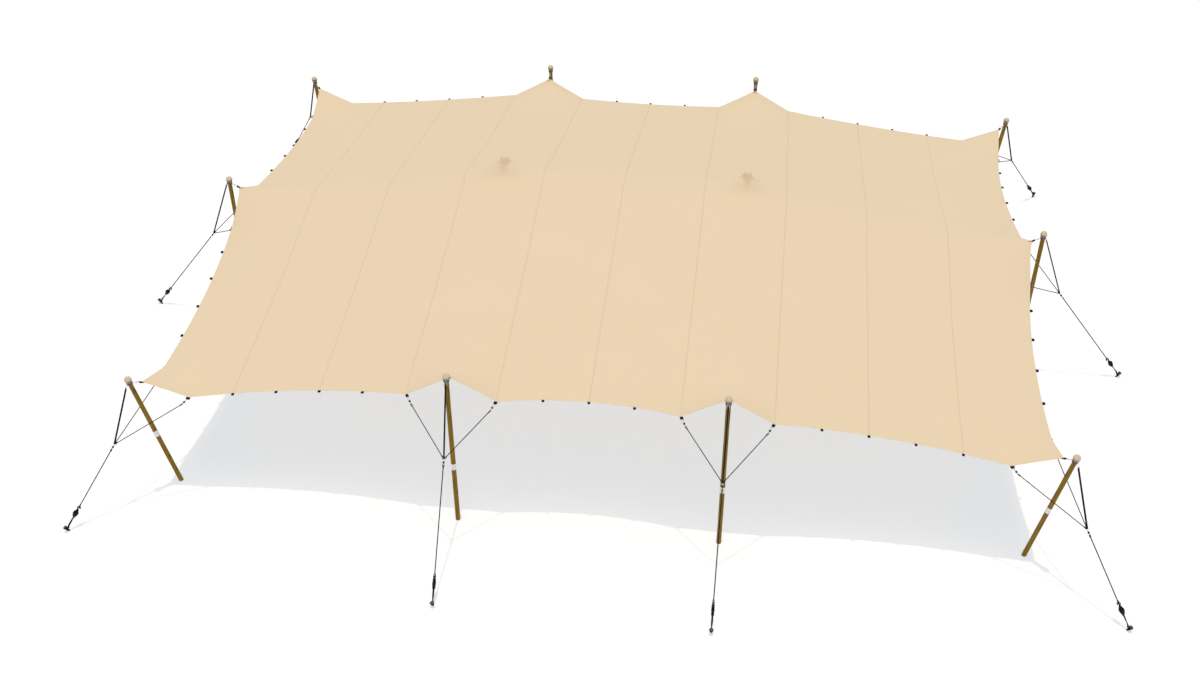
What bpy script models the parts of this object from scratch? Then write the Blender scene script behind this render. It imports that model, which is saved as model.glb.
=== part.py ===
# Stretch tent: a stretched fabric cover on two king poles and ten leaning or upright edge poles,
# each edge pole tied down by a bridle, a guy line with a ratchet, and a ground stake.
# Metres, +Z up, +X along the long side, +Y towards the back. The origin is the middle of the tent
# on the ground. The tent is the same in all four quarters, so sizes are given for the +X +Y one.

import math

import bmesh
import bpy
import numpy as np
from mathutils import Matrix, Vector

# Cover
COVER_LENGTH = 15.0
COVER_WIDTH = 10.5
COVER_THICKNESS = 0.004
NET_PITCH = 0.375
NEARBY = 0.09
PULL_ALONG = 1.0
PULL_ACROSS = 2.29
PULL_LONG_EDGE_MIDDLE = 47.0
PULL_LONG_EDGE_ENDS = 92.0
PULL_SHORT_EDGE_MIDDLE = 120.0
PULL_SHORT_EDGE_ENDS = 33.0
SHORT_EDGE_MIDDLE_REACH = 0.76
PULL_RIDGE = 50.0
RIDGE_REACH = 0.6

# King poles
KING_X = 2.25
PEAK_HEIGHT = 4.066

# Edge pole stations, each with the points that hold the cover there
CORNER = {
    "foot": (7.35, 5.09, 0.0),
    "head": (7.67, 5.43, 2.53),
    "tip": (7.51, 5.27, 2.38),
    "knot": (8.015, 5.775, 1.365),
    "stake": (8.80, 6.55, 0.0),
    "loops": ((6.77, 5.225, 2.09), (7.48, 4.49, 2.09)),
    "loop_faces": ((-0.09, 1.0, 0.0), (1.0, -0.052, 0.0)),
}
LONG_SIDE = {
    "foot": (2.25, 5.44, 0.0),
    "head": (2.25, 5.44, 3.15),
    "tip": (2.25, 5.235, 2.98),
    "knot": (2.25, 6.0, 1.89),
    "stake": (2.25, 7.42, 0.0),
    "loops": ((3.0, 5.225, 2.55), (1.5, 5.225, 2.55)),
    "loop_faces": ((0.0, 1.0, 0.0), (0.0, 1.0, 0.0)),
}
SHORT_SIDE = {
    "foot": (7.70, 0.0, 0.0),
    "head": (7.70, 0.0, 3.14),
    "tip": (7.51, 0.0, 2.98),
    "knot": (8.23, 0.0, 1.855),
    "stake": (9.66, 0.0, 0.0),
    "loops": ((7.475, 0.76, 2.55), (7.475, -0.76, 2.55)),
    "loop_faces": ((1.0, 0.053, 0.0), (1.0, -0.053, 0.0)),
}
STATIONS = (
    ("front_left", CORNER, -1, -1),
    ("front_mid_left", LONG_SIDE, -1, -1),
    ("front_mid_right", LONG_SIDE, 1, -1),
    ("front_right", CORNER, 1, -1),
    ("right_mid", SHORT_SIDE, 1, 1),
    ("back_right", CORNER, 1, 1),
    ("back_mid_right", LONG_SIDE, 1, 1),
    ("back_mid_left", LONG_SIDE, -1, 1),
    ("back_left", CORNER, -1, 1),
    ("left_mid", SHORT_SIDE, -1, 1),
)

# Poles, in two lengths with a sleeve over the joint
LOWER_RADIUS = 0.0405
UPPER_RADIUS = 0.0395
JOINT_HEIGHT = 1.24
SLEEVE_LENGTH = 0.13
SLEEVE_WALL = 0.005
ROUND_SIDES = 12

# Pole heads: a ball on a tapered collar
BALL_RADIUS = 0.062
BALL_ANGLES = (0.0, 28.0, 56.0, 84.0, 112.0)
COLLAR_RADIUS = 0.046
COLLAR_TOP = -0.055
COLLAR_BOTTOM = -0.095
HEAD_BOTTOM = -0.125
HEAD_FOOT_RADIUS = 0.041
LINK_DROP = -0.075
KING_HEAD_DROPS = ((0.0, 0.0), (0.028, 0.028), (0.048, 0.065), (0.056, 0.105), (0.041, 0.16))

# Ties between cover, pole head and knot
TIE_RADIUS = 0.0075
STRAP_RADIUS = 0.013
CLIP_SIZE = (0.022, 0.016, 0.012)
HEAD_CLIP_SIZE = (0.024, 0.026, 0.03)
KNOT_RADIUS = 0.022
RING_DROP = 0.065
RING_RADIUS = 0.015

# Guy line, ratchet and tail strap, measured from the stake along the line
LINE_RADIUS = 0.009
LINE_SIDES = 6
HOOK_END = 0.46
HOOK_RADIUS = 0.018
RATCHET_START = 0.235
RATCHET_LENGTH = 0.155
RATCHET_WIDTH = 0.048
RATCHET_RISE = 0.041
RATCHET_DROP = 0.034
RATCHET_END = 0.004
RATCHET_STEPS = 4
TAIL_WIDTH = 0.021
TAIL_THICKNESS = 0.018

# Ground stake, leaning away from the tent
STAKE_LEAN = math.radians(26)
STAKE_HEIGHT = 0.124
STAKE_HEAD = ((0.0, 0.0), (0.023, 0.0025), (0.033, 0.009), (0.036, 0.019), (0.031, 0.029))
STAKE_NECK_RADIUS = 0.019
STAKE_NECK_DROP = 0.032
STAKE_CUT_DEPTH = 0.05
EYE_HEIGHT = 0.060
EYE_HALF_WIDTH = 0.0125
EYE_OUTER_RADIUS = 0.029
EYE_GRIP_RADIUS = 0.024

# Room between pieces that touch, and the distance within which points are welded
GAP = 0.0003
WELD = 0.0001
GROUND_BLOCK = (24.0, 20.0, 1.0)
SHARP_ANGLE = math.radians(35)

# Colours, roughness and metallic value of each material
MATERIALS = {
    "cover_fabric": ((0.80, 0.65, 0.45), 0.8, 0.0),
    "pole_timber": ((0.21, 0.12, 0.025), 0.6, 0.0),
    "sleeve_alloy": ((0.78, 0.78, 0.76), 0.4, 0.2),
    "head_plastic": ((0.66, 0.53, 0.38), 0.5, 0.0),
    "tie_webbing": ((0.02, 0.02, 0.022), 0.7, 0.0),
    "stake_steel": ((0.03, 0.03, 0.032), 0.45, 0.6),
}


# Scene set-up

def clear_scene():
    for item in list(bpy.data.objects):
        bpy.data.objects.remove(item, do_unlink=True)


def new_collection(name):
    group = bpy.data.collections.new(name)
    bpy.context.scene.collection.children.link(group)
    return group


def new_material(name):
    colour, roughness, metallic = MATERIALS[name]
    material = bpy.data.materials.new(name)
    material.use_nodes = True
    shader = material.node_tree.nodes["Principled BSDF"]
    shader.inputs["Base Color"].default_value = (*colour, 1.0)
    shader.inputs["Roughness"].default_value = roughness
    shader.inputs["Metallic"].default_value = metallic
    material.diffuse_color = (*colour, 1.0)
    return material


def new_object(name, mesh, group):
    item = bpy.data.objects.new(name, mesh)
    group.objects.link(item)
    return item


def finish(item, material):
    item.data.materials.clear()
    item.data.materials.append(material)
    item.data.shade_smooth()
    item.data.set_sharp_from_angle(angle=SHARP_ANGLE)


def evaluated_mesh(item):
    bpy.context.view_layer.update()
    graph = bpy.context.evaluated_depsgraph_get()
    return bpy.data.meshes.new_from_object(item.evaluated_get(graph))


def bake(item):
    mesh = evaluated_mesh(item)
    item.modifiers.clear()
    item.data = mesh


# Basic shapes, made in world space

def mesh_from(bm, name):
    mesh = bpy.data.meshes.new(name)
    bm.to_mesh(mesh)
    bm.free()
    return mesh


def rod(name, start, end, radius, sides, group):
    run = end - start
    turn = run.to_track_quat("Z", "Y").to_matrix().to_4x4()
    place = Matrix.Translation((start + end) / 2) @ turn
    bm = bmesh.new()
    bmesh.ops.create_cone(bm, cap_ends=True, segments=sides, radius1=radius, radius2=radius,
                          depth=run.length, matrix=place)
    return new_object(name, mesh_from(bm, name), group)


def block(name, centre, size, frame, group):
    bm = bmesh.new()
    bmesh.ops.create_cube(bm, size=1.0)
    bmesh.ops.scale(bm, vec=size, verts=bm.verts)
    bmesh.ops.transform(bm, matrix=Matrix.Translation(centre) @ frame, verts=bm.verts)
    return new_object(name, mesh_from(bm, name), group)


def knob(name, centre, radius, group):
    bm = bmesh.new()
    bmesh.ops.create_icosphere(bm, subdivisions=1, radius=radius, matrix=Matrix.Translation(centre))
    return new_object(name, mesh_from(bm, name), group)


def turned(name, outline, place, closed, group):
    # A profile of radius and height points, running down its outer side, turned about its axis
    count = len(outline)
    last = count if closed else count - 1
    edges = [(i, (i + 1) % count) for i in range(last)]
    mesh = bpy.data.meshes.new(name)
    mesh.from_pydata([(radius, 0.0, height) for radius, height in outline], edges, [])
    item = new_object(name, mesh, group)
    item.matrix_world = place
    screw = item.modifiers.new("Turn", "SCREW")
    screw.axis = "Z"
    screw.angle = math.tau
    screw.steps = ROUND_SIDES
    screw.render_steps = ROUND_SIDES
    screw.use_merge_vertices = True
    screw.merge_threshold = WELD
    return item


def fuse(name, pieces, group):
    # One closed body from overlapping pieces
    base = pieces[0]
    for piece in pieces[1:]:
        union = base.modifiers.new("Join", "BOOLEAN")
        union.operation = "UNION"
        union.object = piece
    mesh = evaluated_mesh(base)
    mesh.transform(base.matrix_world)
    mesh.name = name
    for piece in pieces:
        bpy.data.objects.remove(piece, do_unlink=True)
    return new_object(name, mesh, group)


def cut_at_ground(item, ground):
    cut = item.modifiers.new("Ground", "BOOLEAN")
    cut.operation = "DIFFERENCE"
    cut.object = ground


# Directions

def axis_frame(origin, axis, towards):
    # Local Z along the axis and local X as near as can be to the given direction
    up = axis.normalized()
    side = (towards - towards.dot(up) * up).normalized()
    across = up.cross(side)
    frame = Matrix((side, across, up)).transposed().to_4x4()
    return Matrix.Translation(origin) @ frame


def facing_frame(normal):
    # Local X along a level normal
    side = Vector(normal).normalized()
    up = Vector((0.0, 0.0, 1.0))
    return Matrix((side, up.cross(side), up)).transposed().to_4x4()


def mirrored(point, sign_x, sign_y):
    return Vector((point[0] * sign_x, point[1] * sign_y, point[2]))


def outward(station):
    foot = Vector((station["stake"][0] - station["head"][0], station["stake"][1] - station["head"][1], 0.0))
    return foot.normalized()


# Cover

def held_points():
    # Net node numbers, counted from the middle, and the point that each is held at
    held = {}
    for _, station, sign_x, sign_y in STATIONS:
        for point in (station["tip"], *station["loops"]):
            column = sign_x * round(point[0] / NET_PITCH)
            row = sign_y * round(point[1] / NET_PITCH)
            held[column, row] = mirrored(point, sign_x, sign_y)
    for sign in (-1, 1):
        held[sign * round(KING_X / NET_PITCH), 0] = Vector((sign * KING_X, 0.0, PEAK_HEIGHT))
    return held


def cover_net():
    # The shape in which the pulls of a net's links balance at every node that isn't held:
    # the pull of a link is its force per metre times its length
    columns = round(COVER_LENGTH / NET_PITCH)
    rows = round(COVER_WIDTH / NET_PITCH)
    number = np.arange((columns + 1) * (rows + 1)).reshape(columns + 1, rows + 1)
    along = np.full((columns, rows + 1), PULL_ALONG)
    from_middle = np.abs(np.arange(columns) + 0.5 - columns / 2) * NET_PITCH
    edge_pull = np.where(from_middle < KING_X, PULL_LONG_EDGE_MIDDLE, PULL_LONG_EDGE_ENDS)
    along[:, [0, -1]] = PULL_ALONG / 2 + edge_pull[:, None]
    from_ridge = np.abs(np.arange(rows + 1) - rows / 2) * NET_PITCH / RIDGE_REACH
    share = np.where(from_ridge < 1.0, np.cos(math.pi / 2 * from_ridge) ** 2, 0.0)
    along += PULL_RIDGE * share / share.sum()
    across = np.full((columns + 1, rows), PULL_ACROSS)
    from_middle = np.abs(np.arange(rows) + 0.5 - rows / 2) * NET_PITCH
    edge_pull = np.where(from_middle < SHORT_EDGE_MIDDLE_REACH, PULL_SHORT_EDGE_MIDDLE, PULL_SHORT_EDGE_ENDS)
    across[[0, -1], :] = PULL_ACROSS / 2 + edge_pull
    start = np.concatenate([number[:-1].ravel(), number[:, :-1].ravel()])
    end = np.concatenate([number[1:].ravel(), number[:, 1:].ravel()])
    pull = np.concatenate([along.ravel(), across.ravel()])
    balance = np.zeros((number.size, number.size))
    np.add.at(balance, (start, start), pull)
    np.add.at(balance, (end, end), pull)
    np.add.at(balance, (start, end), -pull)
    np.add.at(balance, (end, start), -pull)
    points = np.zeros((number.size, 3))
    fixed = np.zeros(number.size, dtype=bool)
    for (column, row), point in held_points().items():
        node = number[column + columns // 2, row + rows // 2]
        points[node] = point
        fixed[node] = True
    pulls_on_free = balance[~fixed]
    right_side = -pulls_on_free[:, fixed] @ points[fixed]
    points[~fixed] = np.linalg.solve(pulls_on_free[:, ~fixed], right_side)
    return points.reshape(columns + 1, rows + 1, 3)


def make_cover(material, group):
    points = cover_net()
    columns, rows = points.shape[0] - 1, points.shape[1] - 1
    bm = bmesh.new()
    bmesh.ops.create_grid(bm, x_segments=columns, y_segments=rows, size=1.0)
    for vertex in bm.verts:
        column = round((vertex.co.x + 1.0) / 2.0 * columns)
        row = round((vertex.co.y + 1.0) / 2.0 * rows)
        vertex.co = points[column, row]
    item = new_object("canopy", mesh_from(bm, "canopy"), group)
    finish(item, material)
    shell = item.modifiers.new("Thickness", "SOLIDIFY")
    shell.thickness = COVER_THICKNESS
    shell.offset = -1.0
    bake(item)
    return item


def rim_point(cover, near, normal):
    # The cover's farthest point out along a level normal, close to a held point
    close = [v.co for v in cover.data.vertices if (v.co - near).length < NEARBY]
    return max(close, key=lambda point: point.dot(normal))


def peak_underside(cover, x):
    close = [v.co for v in cover.data.vertices if (v.co.xy - Vector((x, 0.0))).length < NEARBY]
    return min(point.z for point in close)


# Poles

def make_pole(name, foot, top, joint_height, material, group, ground):
    axis = (top - foot).normalized()
    reach = (top - foot).length
    joint = joint_height / axis.z
    outline = ((0.0, reach), (UPPER_RADIUS, reach), (UPPER_RADIUS, joint),
               (LOWER_RADIUS, joint), (LOWER_RADIUS, -LOWER_RADIUS), (0.0, -LOWER_RADIUS))
    level = Vector((axis.x, axis.y, 0.0))
    towards = level if level.length > GAP else Vector((foot.x, foot.y, 0.0))
    item = turned(name, outline, axis_frame(foot, axis, towards), False, group)
    cut_at_ground(item, ground)
    finish(item, material)
    return item


def make_sleeve(name, foot, top, joint_height, material, group):
    axis = (top - foot).normalized()
    joint = joint_height / axis.z
    inner = LOWER_RADIUS + GAP
    outer = inner + SLEEVE_WALL
    upper = joint + SLEEVE_LENGTH / 2
    lower = joint - SLEEVE_LENGTH / 2
    level = Vector((axis.x, axis.y, 0.0))
    towards = level if level.length > GAP else Vector((foot.x, foot.y, 0.0))
    outline = ((inner, upper), (outer, upper), (outer, lower), (inner, lower))
    item = turned(name, outline, axis_frame(foot, axis, towards), True, group)
    finish(item, material)
    return item


def head_outline():
    ball = []
    for degrees in BALL_ANGLES:
        angle = math.radians(degrees)
        ball.append((BALL_RADIUS * math.sin(angle), BALL_RADIUS * math.cos(angle)))
    collar = [(COLLAR_RADIUS, COLLAR_TOP), (COLLAR_RADIUS, COLLAR_BOTTOM),
              (HEAD_FOOT_RADIUS, HEAD_BOTTOM), (0.0, HEAD_BOTTOM)]
    return ball + collar


def make_head(name, centre, axis, out, tip, material, group):
    # Ball and collar, with the short tie that holds the cover's tip
    frame = axis_frame(centre, axis, out)
    body = turned(name + "_body", head_outline(), frame, False, group)
    root = centre + axis * LINK_DROP
    clip_centre = tip + out * (GAP + CLIP_SIZE[0] / 2)
    clip = block(name + "_clip", clip_centre, CLIP_SIZE, facing_frame(out), group)
    tie = rod(name + "_tie", clip_centre, root, TIE_RADIUS, LINE_SIDES, group)
    item = fuse(name, (body, tie, clip), group)
    finish(item, material)
    return item


def make_king_head(name, top, material, group):
    outline = [(radius, -drop) for radius, drop in KING_HEAD_DROPS]
    outline.append((0.0, -KING_HEAD_DROPS[-1][1]))
    frame = axis_frame(top, Vector((0.0, 0.0, 1.0)), Vector((1.0, 0.0, 0.0)))
    item = turned(name, outline, frame, False, group)
    finish(item, material)
    return item


# Ties, guy line and stake

def stake_axis(out):
    return out * math.sin(STAKE_LEAN) + Vector((0.0, 0.0, math.cos(STAKE_LEAN)))


def make_stake(name, ground_point, out, material, group, ground):
    head = [(radius, STAKE_HEIGHT - drop) for radius, drop in STAKE_HEAD]
    neck = [(STAKE_NECK_RADIUS, STAKE_HEIGHT - STAKE_NECK_DROP), (STAKE_NECK_RADIUS, -STAKE_CUT_DEPTH),
            (0.0, -STAKE_CUT_DEPTH)]
    outline = head + neck
    item = turned(name, outline, axis_frame(ground_point, stake_axis(out), out), False, group)
    cut_at_ground(item, ground)
    finish(item, material)
    return item


def ratchet_body(name, start, line, group):
    # A lens-shaped frame standing on edge in line with the guy
    top, bottom = [], []
    for step in range(RATCHET_STEPS + 1):
        share = step / RATCHET_STEPS
        swell = math.sin(math.pi * share)
        top.append((RATCHET_LENGTH * share, RATCHET_RISE * swell + RATCHET_END))
        bottom.append((RATCHET_LENGTH * share, -RATCHET_DROP * swell - RATCHET_END))
    outline = top + bottom[::-1]
    curve = bpy.data.curves.new(name, "CURVE")
    curve.dimensions = "2D"
    curve.fill_mode = "BOTH"
    curve.extrude = RATCHET_WIDTH / 2
    spline = curve.splines.new("POLY")
    spline.points.add(len(outline) - 1)
    for point, (x, y) in zip(spline.points, outline):
        point.co = (x, y, 0.0, 1.0)
    spline.use_cyclic_u = True
    flat = new_object(name + "_outline", curve, group)
    mesh = evaluated_mesh(flat)
    bm = bmesh.new()
    bm.from_mesh(mesh)
    bmesh.ops.remove_doubles(bm, verts=bm.verts, dist=WELD)
    bmesh.ops.recalc_face_normals(bm, faces=bm.faces)
    side = line.cross(Vector((0.0, 0.0, 1.0))).normalized()
    rise = side.cross(line).normalized()
    frame = Matrix((line, rise, side)).transposed()
    if frame.determinant() < 0:
        frame = Matrix((line, rise, -side)).transposed()
    bmesh.ops.transform(bm, matrix=Matrix.Translation(start) @ frame.to_4x4(), verts=bm.verts)
    bpy.data.objects.remove(flat, do_unlink=True)
    return new_object(name, mesh_from(bm, name), group)


def make_guy(name, station, signs, out, head, axis, rims, material, group):
    knot = mirrored(station["knot"], *signs)
    stake = mirrored(station["stake"], *signs)
    lean = stake_axis(out)
    eye = stake + lean * EYE_HEIGHT
    line = (knot - eye).normalized()
    pieces = [knob(name + "_knot", knot, KNOT_RADIUS, group)]

    level_out = (out - out.dot(axis) * axis).normalized()
    link = head + axis * LINK_DROP + level_out * (COLLAR_RADIUS + GAP + HEAD_CLIP_SIZE[0] / 2)
    frame = axis_frame(Vector((0.0, 0.0, 0.0)), axis, out)
    pieces.append(rod(name + "_strap", link, knot, STRAP_RADIUS, LINE_SIDES, group))
    pieces.append(block(name + "_link", link, HEAD_CLIP_SIZE, frame, group))

    for number, (rim, normal) in enumerate(rims):
        clip_centre = rim + normal * (GAP + CLIP_SIZE[0] / 2)
        pieces.append(rod(f"{name}_bridle_{number}", clip_centre, knot, TIE_RADIUS, LINE_SIDES, group))
        pieces.append(block(f"{name}_clip_{number}", clip_centre, CLIP_SIZE, facing_frame(normal), group))

    ring = knot - line * RING_DROP
    line_end = eye + line * (HOOK_END - RING_RADIUS)
    pieces.append(rod(name + "_line", knot, line_end, LINE_RADIUS, LINE_SIDES, group))
    pieces.append(knob(name + "_ring", ring, RING_RADIUS, group))
    hook_end = eye + line * (RATCHET_START + RATCHET_LENGTH - RING_RADIUS)
    pieces.append(rod(name + "_hook", eye + line * HOOK_END, hook_end, HOOK_RADIUS, LINE_SIDES, group))
    pieces.append(ratchet_body(name + "_ratchet", eye + line * RATCHET_START, line, group))

    side = (line - line.dot(lean) * lean).normalized()
    grip = eye + side * EYE_GRIP_RADIUS
    tail_end = eye + line * (RATCHET_START + RING_RADIUS)
    run = tail_end - grip
    tail_frame = axis_frame(Vector((0.0, 0.0, 0.0)), run, Vector((0.0, 0.0, 1.0)))
    tail_size = (TAIL_THICKNESS, TAIL_WIDTH, run.length)
    pieces.append(block(name + "_tail", (grip + tail_end) / 2, tail_size, tail_frame, group))
    inner = STAKE_NECK_RADIUS + GAP
    upper = EYE_HEIGHT + EYE_HALF_WIDTH
    lower = EYE_HEIGHT - EYE_HALF_WIDTH
    loop = ((inner, upper), (EYE_OUTER_RADIUS, upper), (EYE_OUTER_RADIUS, lower), (inner, lower))
    pieces.append(turned(name + "_eye", loop, axis_frame(stake, lean, out), True, group))
    item = fuse(name, pieces, group)
    finish(item, material)
    return item


def build():
    clear_scene()
    parts = new_collection("stretch_tent")
    cutters = new_collection("cutters")
    paint = {name: new_material(name) for name in MATERIALS}

    drop = Vector((0.0, 0.0, -GROUND_BLOCK[2] / 2))
    ground = block("ground_cutter", drop, GROUND_BLOCK, Matrix.Identity(4), cutters)
    ground.hide_render = True
    ground.display_type = "WIRE"

    cover = make_cover(paint["cover_fabric"], parts)

    for label, station, sign_x, sign_y in STATIONS:
        signs = (sign_x, sign_y)
        foot = mirrored(station["foot"], *signs)
        head = mirrored(station["head"], *signs)
        axis = (head - foot).normalized()
        out = mirrored(outward(station), *signs)
        top = head + axis * (HEAD_BOTTOM - GAP)
        tip = rim_point(cover, mirrored(station["tip"], *signs), out)
        rims = []
        for point, face in zip(station["loops"], station["loop_faces"]):
            normal = mirrored(face, *signs).normalized()
            rims.append((rim_point(cover, mirrored(point, *signs), normal), normal))
        make_pole("pole_" + label, foot, top, JOINT_HEIGHT, paint["pole_timber"], parts, ground)
        make_sleeve("sleeve_" + label, foot, top, JOINT_HEIGHT, paint["sleeve_alloy"], parts)
        make_head("head_" + label, head, axis, out, tip, paint["head_plastic"], parts)
        make_guy("guy_" + label, station, signs, out, head, axis, rims, paint["tie_webbing"], parts)
        stake = mirrored(station["stake"], *signs)
        make_stake("stake_" + label, stake, out, paint["stake_steel"], parts, ground)

    for label, sign in (("left", -1), ("right", 1)):
        foot = Vector((sign * KING_X, 0.0, 0.0))
        peak = Vector((foot.x, 0.0, peak_underside(cover, foot.x) - GAP))
        top = peak - Vector((0.0, 0.0, KING_HEAD_DROPS[-1][1] + GAP))
        make_pole("king_pole_" + label, foot, top, JOINT_HEIGHT, paint["pole_timber"], parts, ground)
        make_sleeve("king_sleeve_" + label, foot, top, JOINT_HEIGHT, paint["sleeve_alloy"], parts)
        make_king_head("king_head_" + label, peak, paint["head_plastic"], parts)


build()
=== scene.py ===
import math

import bmesh
import bpy
import numpy as np
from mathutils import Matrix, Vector


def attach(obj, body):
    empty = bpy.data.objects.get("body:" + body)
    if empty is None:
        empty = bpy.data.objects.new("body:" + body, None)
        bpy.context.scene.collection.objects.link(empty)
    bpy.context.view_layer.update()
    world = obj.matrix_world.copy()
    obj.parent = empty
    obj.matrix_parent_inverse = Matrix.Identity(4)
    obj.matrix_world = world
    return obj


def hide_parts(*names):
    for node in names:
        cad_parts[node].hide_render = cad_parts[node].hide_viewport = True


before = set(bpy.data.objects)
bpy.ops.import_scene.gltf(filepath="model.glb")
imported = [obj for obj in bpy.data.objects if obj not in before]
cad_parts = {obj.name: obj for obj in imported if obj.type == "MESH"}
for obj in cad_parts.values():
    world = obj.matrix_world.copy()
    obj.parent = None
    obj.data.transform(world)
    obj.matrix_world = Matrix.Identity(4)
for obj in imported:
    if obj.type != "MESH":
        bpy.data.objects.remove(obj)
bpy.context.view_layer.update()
print("frame loaded,", len(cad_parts), "nodes")

# Places in metres, the same as the solids': for the right back quarter, mirrored by two signs
stationPlaces = {
    "corner": {
        "foot": (7.35, 5.09, 0.0), "head": (7.67, 5.43, 2.53), "tip": (7.51, 5.27, 2.38),
        "knot": (8.015, 5.775, 1.365), "stake": (8.80, 6.55, 0.0),
        "loops": ((6.77, 5.225, 2.09), (7.48, 4.49, 2.09)),
        "cut": (7.5, 5.25), "loopCuts": ((6.75, 5.25), (7.5, 4.5)), "hangLink": 0.100,
    },
    "longSide": {
        "foot": (2.25, 5.44, 0.0), "head": (2.25, 5.44, 3.15), "tip": (2.25, 5.235, 2.98),
        "knot": (2.25, 6.0, 1.89), "stake": (2.25, 7.42, 0.0),
        "loops": ((3.0, 5.225, 2.55), (1.5, 5.225, 2.55)),
        "cut": (2.25, 5.25), "loopCuts": ((3.0, 5.25), (1.5, 5.25)), "hangLink": 0.062,
    },
    "shortSide": {
        "foot": (7.70, 0.0, 0.0), "head": (7.70, 0.0, 3.14), "tip": (7.51, 0.0, 2.98),
        "knot": (8.23, 0.0, 1.855), "stake": (9.66, 0.0, 0.0),
        "loops": ((7.475, 0.76, 2.55), (7.475, -0.76, 2.55)),
        "cut": (7.5, 0.0), "loopCuts": ((7.5, 0.75), (7.5, -0.75)), "hangLink": 0.062,
    },
}
stations = (
    ("front_left", "corner", (-1, -1)), ("front_mid_left", "longSide", (-1, -1)),
    ("front_mid_right", "longSide", (1, -1)), ("front_right", "corner", (1, -1)),
    ("right_mid", "shortSide", (1, 1)), ("back_right", "corner", (1, 1)),
    ("back_mid_right", "longSide", (1, 1)), ("back_mid_left", "longSide", (-1, 1)),
    ("back_left", "corner", (-1, 1)), ("left_mid", "shortSide", (-1, 1)),
)
upward = np.array([0.0, 0.0, 1.0])
slantWay = np.array([1.0, 0.3, 0.1])  # runs along no pole or rope, so it has a part square to each


# Shape helpers: each gives points, faces and lay, the points' places in the shape's own measure

def unit(v):
    return v / np.linalg.norm(v, axis=-1, keepdims=True)


def mirrored(point, signs):
    return np.array(point, float) * np.array([signs[0], signs[1], 1.0])


def squareTo(v, axis):  # the part of v that is square to a unit axis, made one long
    return unit(v - (v * axis).sum(-1, keepdims=True) * axis)


def gridFaces(rows, columns, closeRows=False, closeColumns=False):
    # Quads between neighbours of a grid of points numbered row by row, joined round where asked
    i, j = np.arange(rows - (not closeRows))[:, None], np.arange(columns - (not closeColumns))
    k, m = (i + 1) % rows, (j + 1) % columns
    corners = (i * columns + j, i * columns + m, k * columns + m, k * columns + j)
    return np.stack(corners, axis=-1).reshape(-1, 4)


def ringed(points, profile, reach, closed):
    # Rings of points joined to a tube, with flat ends where open. Lay is the profile's x and y, and reach
    rings, count = points.shape[:2]
    faces = gridFaces(rings, count, closed, True).tolist()
    if not closed:
        faces += [list(range(count)), list(range((rings - 1) * count, rings * count))]
    reach = np.broadcast_to(reach[:, None, None], (rings, count, 1))
    return points.reshape(-1, 3), faces, np.concatenate([profile, reach], axis=-1).reshape(-1, 3)


def sweep(path, profile, aside, closed=False):
    # Profile point (x, y) lies at path + x * side + y * up. Side is aside made square to the path, and up is
    # square to both
    path = np.asarray(path, float)
    profile = np.broadcast_to(np.asarray(profile, float), (len(path),) + np.shape(profile)[-2:])
    run = unit(np.roll(path, -1, 0) - np.roll(path, 1, 0) if closed else np.gradient(path, axis=0))
    side = squareTo(np.broadcast_to(np.asarray(aside, float), path.shape), run)
    up = np.cross(run, side)
    points = path[:, None] + profile[..., :1] * side[:, None] + profile[..., 1:] * up[:, None]
    reach = np.concatenate([[0.0], np.cumsum(np.linalg.norm(np.diff(path, axis=0), axis=1))])
    return ringed(points, profile, reach, closed)


def fullTurn(sides):  # even angles all round
    return np.arange(sides) * math.tau / sides


def circle(radius, sides=10):
    angle = fullTurn(sides)
    return radius * np.stack([np.cos(angle), np.sin(angle)], axis=-1)


def arc(angle, side, up):  # cos side + sin up, for each angle
    return np.cos(angle)[:, None] * side + np.sin(angle)[:, None] * up


def turned(base, axis, outline, sides, closed=False, flatFoot=False):
    # Radius r and height h of the outline give base + h * axis + r * (cos side + sin up), all round
    radius, height = np.array(outline, float).T
    side = squareTo(slantWay, axis)
    flat = radius[:, None, None] * circle(1.0, sides)
    around = flat @ np.stack([side, np.cross(axis, side)])
    height = np.broadcast_to(height[:, None, None], (len(radius), sides, 1)).copy()
    if flatFoot:  # the first two rings slide along the axis until their rim lies on the ground
        height[:2] = -(base[2] + around[:2, :, 2:]) / axis[2]
    lay = np.concatenate([flat, height], axis=-1)
    faces = gridFaces(len(radius), sides, closed, True).tolist()
    return (base + height * axis + around).reshape(-1, 3), faces, lay.reshape(-1, 3)


def plate(outline, thickness, chamfer, origin, right, up):
    # A flat outline made thick: its rim is set in by the chamfer at both faces
    outline = np.asarray(outline, float)
    inner = outline - chamfer * unit(outline - outline.mean(0))
    rings = np.stack([inner, outline, outline, inner])
    half = thickness / 2
    depth = np.array([-half, chamfer - half, half - chamfer, half])
    flat = origin + rings[..., :1] * right + rings[..., 1:] * up
    return ringed(flat + depth[:, None, None] * np.cross(right, up), rings, depth, False)


def flatStrap(width, thickness, corner=0.0007):  # x runs over the width, y through the thickness
    w, t = width / 2, thickness / 2
    return np.array([(w - corner, -t), (w, corner - t), (w, t - corner), (w - corner, t),
                     (corner - w, t), (-w, t - corner), (-w, corner - t), (corner - w, -t)])


def oval(centre, longWay, wideWay, length, width, steps=28, power=0.75):
    # A rounded loop: cos and sin to a power under one, which squares its corners a little
    loop = circle(1.0, steps)
    loop = np.sign(loop) * np.abs(loop) ** power
    return centre + loop @ np.stack([longWay * length / 2, wideWay * width / 2])


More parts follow.
